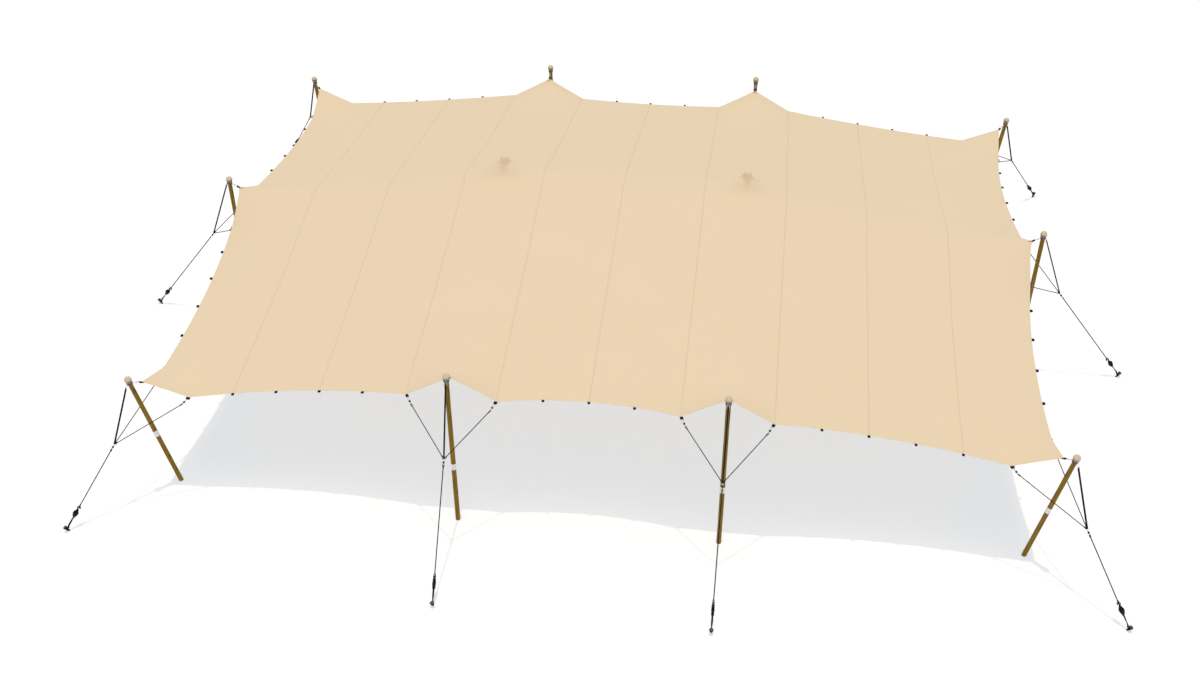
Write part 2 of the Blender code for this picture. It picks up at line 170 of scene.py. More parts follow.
def bent(corners, steps=8):
    # A smooth line through its corners: each point mixes four of them by cubics of the share t of the way
    p = np.array(corners, float)
    p = np.vstack([2 * p[0] - p[1], p, 2 * p[-1] - p[-2]])
    t = np.linspace(0, 1, steps, endpoint=False)[None, :, None]
    a, b, c, d = (p[k:len(p) - 3 + k][:, None] for k in range(4))
    curve = 2 * b + (c - a) * t + (2 * a - 5 * b + 4 * c - d) * t ** 2 + (3 * b - a - 3 * c + d) * t ** 3
    return np.vstack([0.5 * curve.reshape(-1, 3), p[-2]])


pieces = bpy.data.collections.new("dressed_tent")
bpy.context.scene.collection.children.link(pieces)


def makePiece(name, groups, slotName, replaced=(), sharp=38.0, closeUp=True):
    # Groups are pairs of a material and the shapes that wear it
    shapes = [shape for _, group in groups for shape in group]
    topGrey = [index for index, (_, group) in enumerate(groups) for _, faces, _ in group for _ in faces]
    offsets = np.cumsum([0] + [len(points) for points, _, _ in shapes])
    points = np.concatenate([shape[0] for shape in shapes])
    lay = np.concatenate([shape[2] for shape in shapes])
    faces = []
    for (_, shapeFaces, _), offset in zip(shapes, offsets):
        faces += [[int(offset) + corner for corner in face] for face in shapeFaces]
    mesh = bpy.data.meshes.new(name)
    mesh.from_pydata(points.tolist(), [], faces)
    mesh.attributes.new("lay", "FLOAT_VECTOR", "POINT").data.foreach_set("vector", lay.ravel())
    for material, _ in groups:
        mesh.materials.append(material)
    mesh.polygons.foreach_set("material_index", topGrey)
    if closeUp:  # close the poles and turn every face outwards
        bm = bmesh.new()
        bm.from_mesh(mesh)
        bmesh.ops.remove_doubles(bm, verts=bm.verts, dist=0.00001)
        bmesh.ops.recalc_face_normals(bm, faces=bm.faces)
        bm.to_mesh(mesh)
        bm.free()
    mesh.shade_smooth()
    mesh.set_sharp_from_angle(angle=math.radians(sharp))
    piece = bpy.data.objects.new(name, mesh)
    pieces.objects.link(piece)
    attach(piece, "root")
    if replaced:
        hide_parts(*replaced)
    return piece


# Shader helpers

class Flow:
    # One socket of a node tree: sums written on it add Math nodes
    def __init__(self, tree, socket):
        self.tree = tree
        self.socket = socket

    def maths(self, operation, *values):
        node = self.tree.nodes.new("ShaderNodeMath")
        node.operation = operation
        for socket, value in zip(node.inputs, values):
            plug(self.tree, socket, value)
        return Flow(self.tree, node.outputs[0])

    def __add__(self, other): return self.maths("ADD", self, other)
    def __radd__(self, other): return self.maths("ADD", other, self)
    def __sub__(self, other): return self.maths("SUBTRACT", self, other)
    def __rsub__(self, other): return self.maths("SUBTRACT", other, self)
    def __mul__(self, other): return self.maths("MULTIPLY", self, other)
    def __rmul__(self, other): return self.maths("MULTIPLY", other, self)
    def __abs__(self): return self.maths("ABSOLUTE", self)


def plug(tree, socket, value):  # a colour is given by three numbers, and its socket takes four
    if isinstance(value, Flow):
        tree.links.new(value.socket, socket)
    else:
        socket.default_value = (*value, 1.0) if socket.type == "RGBA" else value


class Finish:
    # A material with its shader: what is the same all over goes straight onto the shader's sockets
    def __init__(self, name, **plain):
        self.material = bpy.data.materials.new(name)
        self.material.use_nodes = True
        self.tree = self.material.node_tree
        self.shader = self.tree.nodes["Principled BSDF"]
        self.feed(**plain)

    def node(self, kind, settings=None, links=None, output=0):
        node = self.tree.nodes.new(kind)
        for key, value in (settings or {}).items():
            if key == "stops":
                ramp = node.color_ramp.elements
                while len(ramp) < len(value):
                    ramp.new(1.0)
                for stop, (place, colour) in zip(ramp, value):
                    stop.position = place
                    stop.color = (*colour, 1.0)
            else:
                setattr(node, key, value)
        for key, value in (links or {}).items():
            plug(self.tree, node.inputs[key], value)
        return Flow(self.tree, node.outputs[output])

    def lay(self):  # the piece's own measure, as a vector and as its three numbers
        vector = self.node("ShaderNodeAttribute", {"attribute_name": "lay"}, output="Vector")
        split = self.node("ShaderNodeSeparateXYZ", None, {0: vector}).socket.node
        return vector, *[Flow(self.tree, socket) for socket in split.outputs]

    def stretched(self, vector, scale):
        return self.node("ShaderNodeVectorMath", {"operation": "MULTIPLY"}, {0: vector, 1: scale})

    def noise(self, vector, scale, detail=2.0, roughness=0.5):
        return self.node("ShaderNodeTexNoise", None,
                         {"Vector": vector, "Scale": scale, "Detail": detail, "Roughness": roughness})

    def band(self, value, low, high, start=0.0, end=1.0):  # a smooth step from one value to another
        return self.node("ShaderNodeMapRange", {"interpolation_type": "SMOOTHSTEP"},
                         {"Value": value, "From Min": low, "From Max": high, "To Min": start, "To Max": end})

    def mix(self, share, first, second):
        return self.node("ShaderNodeMix", {"data_type": "RGBA"}, {0: share, 6: first, 7: second}, 2)

    def feed(self, **links):
        for key, value in links.items():
            plug(self.tree, self.shader.inputs[key.replace("_", " ")], value)

    def relief(self, height, distance, strength):
        links = {"Height": height, "Distance": distance, "Strength": strength}
        self.feed(Normal=self.node("ShaderNodeBump", None, links))


# Finishes

stake = {"lean": 26.0, "height": 0.124, "eye": 0.060, "neck": 0.019}
clothLook = {
    "tones": ((0.78, 0.615, 0.408), (0.80, 0.635, 0.425)), "seam": (0.745, 0.59, 0.392),
    "stitch": (0.56, 0.43, 0.27), "drift": 0.55, "fleck": 38.0, "rib": (420.0, 260.0, 0.0),
    "seamPitch": 1.5, "seamMark": (0.006, 0.022), "hemMark": (0.041, 0.045),
    "stitchRow": 0.0055, "stitchPitch": 0.004,
}


def clothFinish():
    # Lay holds the flat cloth's x and y and the distance to its edge, in metres
    f = Finish("stretch_cloth", Sheen_Weight=0.12, Sheen_Roughness=0.5)
    vector, x, _, edge = f.lay()
    toSeam = x.maths("PINGPONG", x, clothLook["seamPitch"] / 2)
    besideSeam = f.band(toSeam, *clothLook["seamMark"], 1.0, 0.0)
    hem = f.band(edge, *clothLook["hemMark"], 1.0, 0.0)
    drift = f.noise(vector, clothLook["drift"])
    fleck = f.noise(vector, clothLook["fleck"], 3.0)
    rib = f.noise(f.stretched(vector, clothLook["rib"]), 1.0, 1.0)
    tone = f.mix(drift * 0.7 + fleck * 0.3, *clothLook["tones"])
    f.feed(Base_Color=f.mix(besideSeam * 0.12, tone, clothLook["seam"]), Roughness=0.74 + fleck * 0.10)
    f.relief(rib * 0.35 + hem * 0.2 + fleck * 0.5, 0.0012, 0.35)
    return f.material


def seamFinish():
    # Lay holds the distance from the seam's middle, its height and the length along it
    f = Finish("seam_tape", Roughness=0.8)
    _, across, _, along = f.lay()
    row = f.band(abs(abs(across) - clothLook["stitchRow"]), 0.0006, 0.0016, 1.0, 0.0)
    dash = f.band(along.maths("PINGPONG", along, clothLook["stitchPitch"]), 0.0012, 0.002)
    stitch = row * dash
    f.feed(Base_Color=f.mix(stitch * 0.5, clothLook["seam"], clothLook["stitch"]))
    f.relief(stitch, 0.0006, 0.6)
    return f.material


timberLook = {
    "tones": ((0.30, (0.105, 0.058, 0.004)), (0.50, (0.238, 0.136, 0.010)), (0.68, (0.330, 0.195, 0.018))),
    "knot": (0.050, 0.026, 0.006), "streaks": (55.0, 55.0, 2.6), "broadStreaks": (16.0, 16.0, 3.2),
    "knots": (11.0, 11.0, 3.4),
}


def timberFinish():
    # Streaks: noise read in the pole's own measure, drawn out along its length
    f = Finish("pole_timber_finish", Specular_IOR_Level=0.12)
    vector, *_ = f.lay()
    streak = f.noise(f.stretched(vector, timberLook["streaks"]), 1.0, 4.0, 0.6)
    broad = f.noise(f.stretched(vector, timberLook["broadStreaks"]), 1.0)
    spots = {"Vector": f.stretched(vector, timberLook["knots"]), "Scale": 1.0}
    knot = f.band(f.node("ShaderNodeTexVoronoi", None, spots), 0.10, 0.22, 1.0, 0.0)
    share = streak * 0.65 + broad * 0.35
    grain = f.node("ShaderNodeValToRGB", {"stops": timberLook["tones"]}, {"Fac": share})
    f.feed(Base_Color=f.mix(knot * 0.7, grain, timberLook["knot"]), Roughness=0.62 - streak * 0.18)
    f.relief(streak + knot * 0.4, 0.0015, 0.5)
    return f.material


alloyLook = {"tones": ((0.83, 0.82, 0.80), (0.62, 0.61, 0.58)), "rings": (30.0, 30.0, 900.0), "smudge": 28.0}


def sleeveFinish():
    # Turning marks: noise pressed flat along the sleeve, with smudges over them
    f = Finish("sleeve_alloy_finish", Metallic=0.25)
    vector, *_ = f.lay()
    ring = f.noise(f.stretched(vector, alloyLook["rings"]), 1.0)
    smudge = f.noise(vector, alloyLook["smudge"], 3.0)
    f.feed(Base_Color=f.mix(smudge * 0.5, *alloyLook["tones"]), Roughness=0.30 + smudge * 0.25)
    f.relief(ring, 0.0002, 0.4)
    return f.material


# The collar tones are darkened partly as painted shade, and the edge heights lie at the ball's middle
headLook = {
    "ball": ((0.59, 0.46, 0.305), (0.71, 0.57, 0.39)), "edge": (-0.002, 0.008),
    "collar": ((0.165, 0.142, 0.118), (0.235, 0.205, 0.172)), "mottle": 45.0, "grit": 420.0,
}


def headFinish():
    # The ball is beige and its collar dark grey, partly painted shade; the grey also covers the ball's lower
    # half as painted shade
    f = Finish("head_rubber")
    vector, _, _, height = f.lay()
    mottle = f.noise(vector, headLook["mottle"], 4.0, 0.6)
    grit = f.noise(vector, headLook["grit"])
    # painted shade: below these heights the ball wears the collar's grey, for the shade on its underside
    aboveShadeLine = f.band(height, *headLook["edge"])
    tones = f.mix(mottle, *headLook["collar"]), f.mix(mottle, *headLook["ball"])
    f.feed(Base_Color=f.mix(aboveShadeLine, *tones), Roughness=0.42 + mottle * 0.22)
    f.relief(grit + mottle * 0.6, 0.0005, 0.35)
    return f.material


webbingLook = {"tones": ((0.004, 0.004, 0.0045), (0.014, 0.014, 0.015)), "ribs": 1850.0, "slant": 0.9}
ropeLook = {"tones": ((0.006, 0.006, 0.0065), (0.022, 0.022, 0.023)), "strands": 3.0, "pitch": 0.040}


def webbingFinish():
    # Ribs slant both ways from the strap's middle line: the sine of length plus distance across
    f = Finish("black_webbing", Roughness=0.82, Specular_IOR_Level=0.2)
    vector, across, _, along = f.lay()
    slant = (along + abs(across) * webbingLook["slant"]) * webbingLook["ribs"]
    rib = slant.maths("SINE", slant) * 0.5 + 0.5
    fuzz = f.noise(vector, 900.0)
    f.feed(Base_Color=f.mix(rib * 0.6 + fuzz * 0.4, *webbingLook["tones"]))
    f.relief(rib + fuzz * 0.5, 0.0006, 0.7)
    return f.material


def ropeFinish():
    # Strands: the sine of their number times the angle round the rope plus its length over the pitch
    f = Finish("black_rope", Roughness=0.75, Specular_IOR_Level=0.2)
    vector, x, y, along = f.lay()
    angle = x.maths("ARCTAN2", y, x)
    twist = angle * ropeLook["strands"] + along * (math.tau * ropeLook["strands"] / ropeLook["pitch"])
    strand = twist.maths("SINE", twist) * 0.5 + 0.5
    fuzz = f.noise(vector, 700.0)
    f.feed(Base_Color=f.mix(strand * 0.7 + fuzz * 0.3, *ropeLook["tones"]))
    f.relief(strand + fuzz * 0.25, 0.0016, 0.8)
    return f.material


def steelFinish(name, light, dark, rough, metal):
    # Wear: noise that lets the lighter tone through, with fine scratches along the piece
    f = Finish(name, Metallic=metal, Specular_IOR_Level=0.2)
    vector, *_ = f.lay()
    wear = f.noise(vector, 90.0, 4.0, 0.65)
    scratch = f.noise(f.stretched(vector, (600.0, 90.0, 90.0)), 1.0)
    f.feed(Base_Color=f.mix(f.band(wear, 0.52, 0.70), dark, light), Roughness=rough + wear * 0.16)
    f.relief(scratch, 0.0002, 0.25)
    return f.material


# The last tone is the lighter grey of the stake's top face
pegLook = {"tones": ((0.006, 0.006, 0.0065), (0.030, 0.018, 0.012)), "topGrey": (0.15, 0.14, 0.135)}


def pegFinish():
    # Black steel whose top face is lighter grey, down to an uneven height
    f = Finish("peg_steel", Metallic=0.2, Specular_IOR_Level=0.2)
    vector, _, _, height = f.lay()
    patch = f.noise(vector, 70.0, 4.0, 0.7)
    top = f.band(height + patch * 0.008, stake["height"] - 0.002, stake["height"] + 0.006)
    rust = f.band(f.noise(vector, 45.0, 3.0), 0.56, 0.68)
    dark = f.mix(rust * 0.5, *pegLook["tones"])
    f.feed(Base_Color=f.mix(top, dark, pegLook["topGrey"]), Roughness=0.42 + patch * 0.2)
    f.relief(patch, 0.0010, 0.5)
    return f.material


cloth = clothFinish()
seamTape = seamFinish()
timber = timberFinish()
alloy = sleeveFinish()
rubber = headFinish()
webbing = webbingFinish()
rope = ropeFinish()
brightSteel = steelFinish("bright_steel", (0.86, 0.86, 0.86), (0.70, 0.70, 0.71), 0.16, 1.0)
pegSteel = pegFinish()
blackSteel = steelFinish("black_steel", (0.010, 0.010, 0.011), (0.003, 0.003, 0.0034), 0.5, 0.1)
print("finishes made")


# Cover

cover = {
    "length": 15.0, "width": 10.5, "pitch": 0.09375, "thickness": 0.003,
    "pullAlong": 1.0, "pullAcross": 2.29, "pullRidge": 50.0, "pullsAtPitch": 0.375,
    "longEdge": (2.25, 47.0, 92.0), "shortEdge": (0.76, 120.0, 33.0),  # a reach, the pull in it and beyond
    "ridgeReach": 0.6, "peakX": 2.25, "peakHeight": 4.066, "peakBeside": 3.965, "peakBefore": 3.94,
    "capRadius": 0.064, "capDrop": 0.036, "nubLines": (0.018, 0.036, 0.051, 0.064, 0.079),
    "startHeight": 3.0, "solveUntil": 1e-6, "mostSteps": 1500,
}


def heldPlaces():
    # Net nodes counted from the middle, and the points that hold them
    held, pitch = {}, cover["pitch"]
    for _, kind, signs in stations:
        place = stationPlaces[kind]
        for (u, v), point in zip((place["cut"], *place["loopCuts"]), (place["tip"], *place["loops"])):
            held[round(signs[0] * u / pitch), round(signs[1] * v / pitch)] = mirrored(point, signs)
    for sign in (-1, 1):
        x = sign * cover["peakX"]
        column = round(x / pitch)
        held[column, 0] = (x, 0.0, cover["peakHeight"])
        for side in (-1, 1):
            held[column + side, 0] = (x + side * pitch, 0.0, cover["peakBeside"])
            held[column, side] = (x, side * pitch, cover["peakBefore"])
    return held


def coverNet():
    # Each link pulls with its force per metre times its length. The ridge's pull fades as a squared cosine.
    # The free nodes move until their pulls cancel, by conjugate steps divided by each node's sum of pulls
    pitch = cover["pitch"]
    columns, rows = round(cover["length"] / pitch), round(cover["width"] / pitch)
    finer = cover["pullsAtPitch"] / pitch

    def edgePulls(links, reach, near, beyond):
        fromMiddle = np.abs(np.arange(links) + 0.5 - links / 2)[:, None] * pitch
        return np.where(fromMiddle < reach, near, beyond) * finer

    along = np.full((columns, rows + 1, 1), cover["pullAlong"])
    along[:, [0, -1]] = cover["pullAlong"] / 2 + edgePulls(columns, *cover["longEdge"])[:, None]
    u = np.linspace(-cover["length"] / 2, cover["length"] / 2, columns + 1)
    v = np.linspace(-cover["width"] / 2, cover["width"] / 2, rows + 1)
    fromRidge = np.abs(v) / cover["ridgeReach"]
    share = np.where(fromRidge < 1, np.cos(math.pi / 2 * fromRidge) ** 2, 0.0)[:, None]
    along += cover["pullRidge"] * finer * share / share.sum()
    across = np.full((columns + 1, rows, 1), cover["pullAcross"])
    across[[0, -1]] = cover["pullAcross"] / 2 + edgePulls(rows, *cover["shortEdge"])
    u, v = np.meshgrid(u, v, indexing="ij")
    net = np.stack([u, v, np.full_like(u, cover["startHeight"])], axis=-1)
    free = np.ones((columns + 1, rows + 1, 1))
    for (i, j), point in heldPlaces().items():
        net[i + columns // 2, j + rows // 2] = point
        free[i + columns // 2, j + rows // 2] = 0.0

    def pulls(points):
        total = np.zeros_like(points)
        link = along * np.diff(points, axis=0)
        total[:-1] += link
        total[1:] -= link
        link = across * np.diff(points, axis=1)
        total[:, :-1] += link
        total[:, 1:] -= link
        return total * free

    weight = np.zeros_like(free)
    weight[:-1] += along
    weight[1:] += along
    weight[:, :-1] += across
    weight[:, 1:] += across
    left = pulls(net)
    scaled = left / weight
    way, size = scaled.copy(), (left * scaled).sum((0, 1))
    for _ in range(cover["mostSteps"]):
        answer = -pulls(way)
        step = size / (way * answer).sum((0, 1))
        net += step * way
        left -= step * answer
        if np.abs(left).max() < cover["solveUntil"]:
            break
        scaled = left / weight
        newSize = (left * scaled).sum((0, 1))
        way = scaled + newSize / size * way
        size = newSize
    return net, u[:, 0], v[0]


def finerLines(net, places, wanted, axis):
    # New rows of points between old ones, each in a straight line between its neighbours
    lines = np.unique(np.round(np.concatenate([places, wanted]), 6))
    before = np.clip(np.searchsorted(places, lines, "right") - 1, 0, len(places) - 2)
    share = (lines - places[before]) / (places[before + 1] - places[before])
    share = share[:, None, None] if axis == 0 else share[None, :, None]
    return np.take(net, before, axis) * (1 - share) + np.take(net, before + 1, axis) * share, lines


def withNubs(net, u, v):
    # Over each king pole the cloth is a flat dome, lower by the fourth power of the way out, and then it runs
    # straight down to the first net points
    near = np.array(cover["nubLines"])
    near = np.concatenate([-near, near])
    net, u = finerLines(net, u, np.concatenate([near - cover["peakX"], near + cover["peakX"]]), 0)
    net, v = finerLines(net, v, near, 1)
    cap, pitch = cover["capRadius"], cover["pitch"]
    for sign in (-1, 1):
        x, y = net[..., 0] - sign * cover["peakX"], net[..., 1]
        reach = np.hypot(x, y)
        onward = (y / np.maximum(reach, 1e-9)) ** 2
        ringHeight = cover["peakBeside"] * (1 - onward) + cover["peakBefore"] * onward
        leaveHeight = cover["peakHeight"] - cover["capDrop"]
        dome = cover["peakHeight"] - cover["capDrop"] * (reach / cap) ** 4
        cone = leaveHeight + (ringHeight - leaveHeight) * (reach - cap) / (pitch - cap)
        height = np.where(reach < cap, dome, cone)
        net[..., 2] = np.where(reach < pitch * 0.999, height, net[..., 2])
    return net, *np.meshgrid(u, v, indexing="ij")


net, cutX, cutY = withNubs(*coverNet())
acrossNet = unit(np.gradient(net, axis=0))
alongNet = unit(np.gradient(net, axis=1))
netNormal = unit(np.cross(acrossNet, alongNet))
clothMiddle = net - netNormal * cover["thickness"] / 2
edgeDistance = np.minimum(cover["length"] / 2 - np.abs(cutX), cover["width"] / 2 - np.abs(cutY))
clothLay = np.stack([cutX, cutY, edgeDistance], axis=-1)
coverFaces = gridFaces(*net.shape[:2])[:, ::-1].tolist()
coverShape = (net.reshape(-1, 3), coverFaces, clothLay.reshape(-1, 3))
coverPiece = makePiece("cover_cloth", [(cloth, [coverShape])], "cover_fabric", ["canopy"], 60.0, False)

# Without sharp outer edges the shading would bend over the rim
coverMesh = coverPiece.data
facesBeside = np.empty(len(coverMesh.loops), np.int32)
coverMesh.loops.foreach_get("edge_index", facesBeside)
creases = np.empty(len(coverMesh.edges), bool)
coverMesh.edges.foreach_get("use_edge_sharp", creases)
creases |= np.bincount(facesBeside, minlength=len(creases)) == 1
coverMesh.edges.foreach_set("use_edge_sharp", creases)
shell = coverPiece.modifiers.new("two faces", "SOLIDIFY")
shell.thickness = cover["thickness"]
shell.offset = -1.0
print("cover worked out,", *net.shape[:2])


def netIndex(u, v):  # the net's point at a place on the flat cloth
    return int(np.abs(cutX[:, 0] - u).argmin()), int(np.abs(cutY[0] - v).argmin())


def evenPlaces(size, pitch):  # along one side of the flat cloth, without its two ends
    last = round(size / pitch / 2) - 1
    return np.arange(-last, last + 1) * pitch


seam = {"width": 0.018, "proud": 0.0018}
hem = {"width": 0.022, "thickness": 0.0052, "inset": 0.010}


def lens(width, thickness, sides=8):  # a flat oval
    angle = (np.arange(sides) + 0.5) * math.tau / sides
    half = 0.5 / math.cos(math.pi / sides)
    return half * np.stack([width * np.cos(angle), thickness * np.sin(angle)], axis=-1)


def seamShapes():
    profile = lens(seam["width"], cover["thickness"] + 2 * seam["proud"])
    columns = [netIndex(place, 0.0)[0] for place in evenPlaces(cover["length"], clothLook["seamPitch"])]
    return [sweep(clothMiddle[column], profile, acrossNet[column]) for column in columns]


def rim(field):  # the net's outer nodes in order, once round
    return np.concatenate([field[:-1, 0], field[-1, :-1], field[:0:-1, -1], field[0, :0:-1]])


def hemShape():
    profile = lens(hem["thickness"], hem["width"])
    points, faces, _ = sweep(rim(clothMiddle), profile, rim(netNormal), True)
    lay = np.repeat(rim(clothLay), len(profile), axis=0) + (0.0, 0.0, hem["inset"])
    return points, faces, lay


seamPiece = makePiece("cover_seams", [(seamTape, seamShapes())], "cover_fabric", sharp=80.0)
hemPiece = makePiece("cover_hem", [(cloth, [hemShape()])], "cover_fabric", sharp=30.0)
print("seams and hem made")


# Edge loops

edgeLoop = {
    "pitch": 0.75, "inside": 0.020, "reach": 0.055, "swell": 0.013, "droop": 0.10, "width": 0.042,
    "thickness": 0.0045, "eye": ((0.42, 1.0), (0.86, 0.7), (1.0, 0.0), (0.86, -0.7), (0.42, -1.0)),
}


def edgeFrame(u, v):
    # At a cut place on the edge: the point, the way along the edge, the way out in the cloth, and its normal
    i, j = netIndex(u, v)
    onLong = abs(abs(v) - cover["width"] / 2) < 0.01
    line = acrossNet[i, j] if onLong else alongNet[i, j]
    inner = net[i, j - int(np.sign(v))] if onLong else net[i - int(np.sign(u)), j]
    out = squareTo(net[i, j] - inner, line)
    normal = unit(np.cross(line, out))
    normal = normal * np.sign(normal[2])
    return net[i, j], line, out, normal


def loopShape(u, v, pull=None):
    # A short strap that leaves the hem under the cloth, swells to an eye and comes back under its own start
    point, line, out, normal = edgeFrame(u, v)
    pull = unit(out * (1.0, 1.0, 0.0) - upward * edgeLoop["droop"]) if pull is None else pull
    swell = squareTo(upward, pull) * edgeLoop["swell"]
    thick = edgeLoop["thickness"]
    over = point - normal * (cover["thickness"] + thick * 0.55)
    under = over - normal * thick * 1.1
    eye = [point + pull * edgeLoop["reach"] * away + swell * up for away, up in edgeLoop["eye"]]
    corners = [over - out * edgeLoop["inside"], over + pull * 0.004, *eye,
               under + pull * 0.004, under - out * edgeLoop["inside"]]
    return sweep(bent(corners, 3), flatStrap(edgeLoop["width"], thick), line)


stationCuts = {(round(s[0] * u, 2), round(s[1] * v, 2)) for _, kind, s in stations
               for u, v in (stationPlaces[kind]["cut"], *stationPlaces[kind]["loopCuts"])}
longPlaces, shortPlaces = (evenPlaces(cover[size], edgeLoop["pitch"]) for size in ("length", "width"))
loopCuts = [(u, side * cover["width"] / 2) for u in longPlaces for side in (-1, 1)]
loopCuts += [(side * cover["length"] / 2, v) for v in shortPlaces for side in (-1, 1)]
freeCuts = [cut for cut in loopCuts if (round(cut[0], 2), round(cut[1], 2)) not in stationCuts]
loopPiece = makePiece("edge_loops", [(webbing, [loopShape(*cut) for cut in freeCuts])], "tie_webbing")
print("edge loops made,", len(freeCuts))


# Poles and sleeves

pole = {
    "lower": 0.0405, "upper": 0.0395, "joint": 1.24, "sides": 28, "chamfer": 0.003, "gap": 0.0003,
    "waver": 0.0007, "waves": ((5.1, 11.3), (4.3, 9.7)),
}
sleeve = {
    "length": 0.13, "wall": 0.005, "lip": 0.0012, "lipLength": 0.008, "screwPlace": 0.038, "screw": 0.0055,
    "screwDome": ((0.0, 0.0), (1.0, 0.0), (1.0, 0.0012), (0.8, 0.0024), (0.45, 0.0030), (0.0, 0.0032)),
}


def poleShape(foot, top):
    # Two lengths of timber, a little wavy: a slow and a fast sine of the height swing each one's radius
    axis = unit(top - foot)
    reach, joint = np.linalg.norm(top - foot), pole["joint"] / axis[2]
    lengths = ((pole["lower"], np.linspace(0.12, joint - 0.01, 9)),
               (pole["upper"], np.linspace(joint + 0.01, reach - 0.02, 13)))
    wavy = []
    for (radius, height), (slow, fast), shift in zip(lengths, pole["waves"], foot):
        ripple = np.sin(height * slow + shift) + np.sin(height * fast)
        wavy.append(zip(radius + pole["waver"] * ripple, height))
    lower, upper, chamfer = pole["lower"], pole["upper"], pole["chamfer"]
    outline = [(0.0, 0.0), (lower, 0.0), *wavy[0], (lower, joint), (upper, joint), *wavy[1],
               (upper, reach - chamfer), (upper - chamfer, reach), (0.0, reach)]
    return turned(foot, axis, outline, pole["sides"], flatFoot=True)


def sleeveShapes(foot, top):
    # A tube that steps out to a lip at both ends, with four screws
    axis = unit(top - foot)
    joint, half = pole["joint"] / axis[2], sleeve["length"] / 2
    inner, lip, step = pole["lower"] + pole["gap"], sleeve["lip"], half - sleeve["lipLength"]
    outer = inner + sleeve["wall"]
    low = outer - lip
    end = [(inner, half), (low, half), (outer, half - lip), (outer, step), (low, step - 0.002)]
    outline = [(r, joint + h) for r, h in end] + [(r, joint - h) for r, h in end[::-1]]
    shapes = [turned(foot, axis, outline, 40, closed=True)]
    side = squareTo(slantWay, axis)
    dome = [(sleeve["screw"] * r, h) for r, h in sleeve["screwDome"]]
    for sign in (-1, 1):
        for half in (-1, 1):
            base = foot + axis * (joint + half * sleeve["screwPlace"]) + side * sign * (low - 0.0005)
            shapes.append(turned(base, side * sign, dome, 12))
    return shapes


# Pole heads: pairs are a radius and a height from the ball's middle, or a drop from the king pole's top

head = {
    "ball": 0.062, "ballTurn": 118, "linkDrop": -0.075, "ring": 0.0490, "ringWire": 0.0034,
    "collar": ((0.0530, -0.034), (0.0505, -0.040), (0.0490, -0.047), (0.0466, -0.055), (0.0466, -0.061),
               (0.0450, -0.0625), (0.0450, -0.0865), (0.0464, -0.088), (0.0460, -0.093), (0.0440, -0.095),
               (0.0, -0.095)),
}
kingHead = {
    "under": 0.0043,
    "outline": ((0.0, 0.0), (0.010, 0.003), (0.020, 0.014), (0.028, 0.028), (0.040, 0.048), (0.048, 0.065),
                (0.054, 0.088), (0.056, 0.105), (0.053, 0.128), (0.044, 0.150), (0.041, 0.158), (0.039, 0.16),
                (0.0, 0.16)),
}


def headShape(centre, axis):  # a ball down to its neck, and the collar under it
    angle = np.radians(np.arange(0, head["ballTurn"], 8.0))
    ball = zip(head["ball"] * np.sin(angle), head["ball"] * np.cos(angle))
    return turned(centre, axis, [*ball, *head["collar"]], 32)


# Small shapes for ropes, straps and fittings

def steelLink(centre, way, side, length, width, wire):
    return sweep(oval(centre, way, side, length, width), circle(wire), np.cross(way, side), True)


def pin(centre, way, radius, length, sides=14, chamfer=0.0007):
    h = length / 2
    outline = [(0.0, -h), (radius - chamfer, -h), (radius, chamfer - h),
               (radius, h - chamfer), (radius - chamfer, h), (0.0, h)]
    return turned(centre, way, outline, sides)


def coil(start, way, side, turns, radius, pitch):
    # Turns round the line: start + way * pitch * turns so far + radius * (cos side + sin up)
    angle = np.linspace(0.0, turns * math.tau, int(turns * 11) + 1)
    return start + way * (pitch * angle / math.tau)[:, None] + radius * arc(angle, side, np.cross(way, side))


def stadium(start, end, radius, thickWay, steps=7):
    # Two straight runs joined by half turns, for a strap that goes out and back
    turn = radius * arc(np.linspace(-math.pi / 2, math.pi / 2, steps), unit(end - start), thickWay)
    return np.concatenate([end + turn, start - turn])


straps = {  # width, thickness and rounding
    "hang": (0.024, 0.0112, 0.002), "hangKeeper": (0.0255, 0.0247, 0.002), "tip": (0.036, 0.0075, 0.0014),
    "hook": (0.033, 0.0095, 0.0014), "loop": (0.024, 0.0064, 0.0014), "tail": (0.030, 0.014, 0.004),
    "tailKeeper": (0.034, 0.019, 0.0014),
}
ties = {  # links are length, width and wire, or what of that is shared
    "bridle": 0.0073, "guy": 0.0088, "eye": (0.038, 0.021), "twine": 0.0019, "twineTurns": 5,
    "link": (0.062, 0.030, 0.0038), "upperLink": (0.022, 0.0038), "wideLink": (0.046, 0.0046),
    "smallLink": (0.024, 0.0038), "edgeLinks": (0.076, 0.044), "knotLinks": (0.024, 0.036), "lap": 0.005,
    "swivel": (0.0175, 0.018), "knotRing": (0.019, 0.0045), "chainSag": 0.35, "hangGap": 0.0060,
    "keeper": 0.034, "keeperPlace": 0.012, "tipInside": 0.055, "tipReach": 0.062, "tipLap": 0.012,
    "linkLap": 0.009, "hangLap": 0.016, "strapToKnot": 0.020, "bridleToKnot": 0.016,
}
swivelOutline = ((0.0, -1.0), (0.62, -1.0), (0.95, -0.45), (1.0, 0.0), (0.95, 0.45), (0.62, 1.0), (0.0, 1.0))


def strap(path, kind, aside, closed=False):
    return sweep(path, flatStrap(*straps[kind]), aside, closed)


def ropeEye(point, way, side, radius):
    # A loop of rope from the point on, closed by turns of twine. Gives the shapes and where the rope goes on
    length, width = ties["eye"]
    centre = point + way * (length / 2 - 0.004)
    loop = sweep(oval(centre, way, side, length, width), circle(radius * 0.85), np.cross(way, side), True)
    throat = centre + way * (length / 2 - 0.003)
    wind = coil(throat, way, side, ties["twineTurns"], radius + ties["twine"] * 0.7, ties["twine"] * 2.05)
    return [loop, sweep(wind, circle(ties["twine"], 6), way)], throat


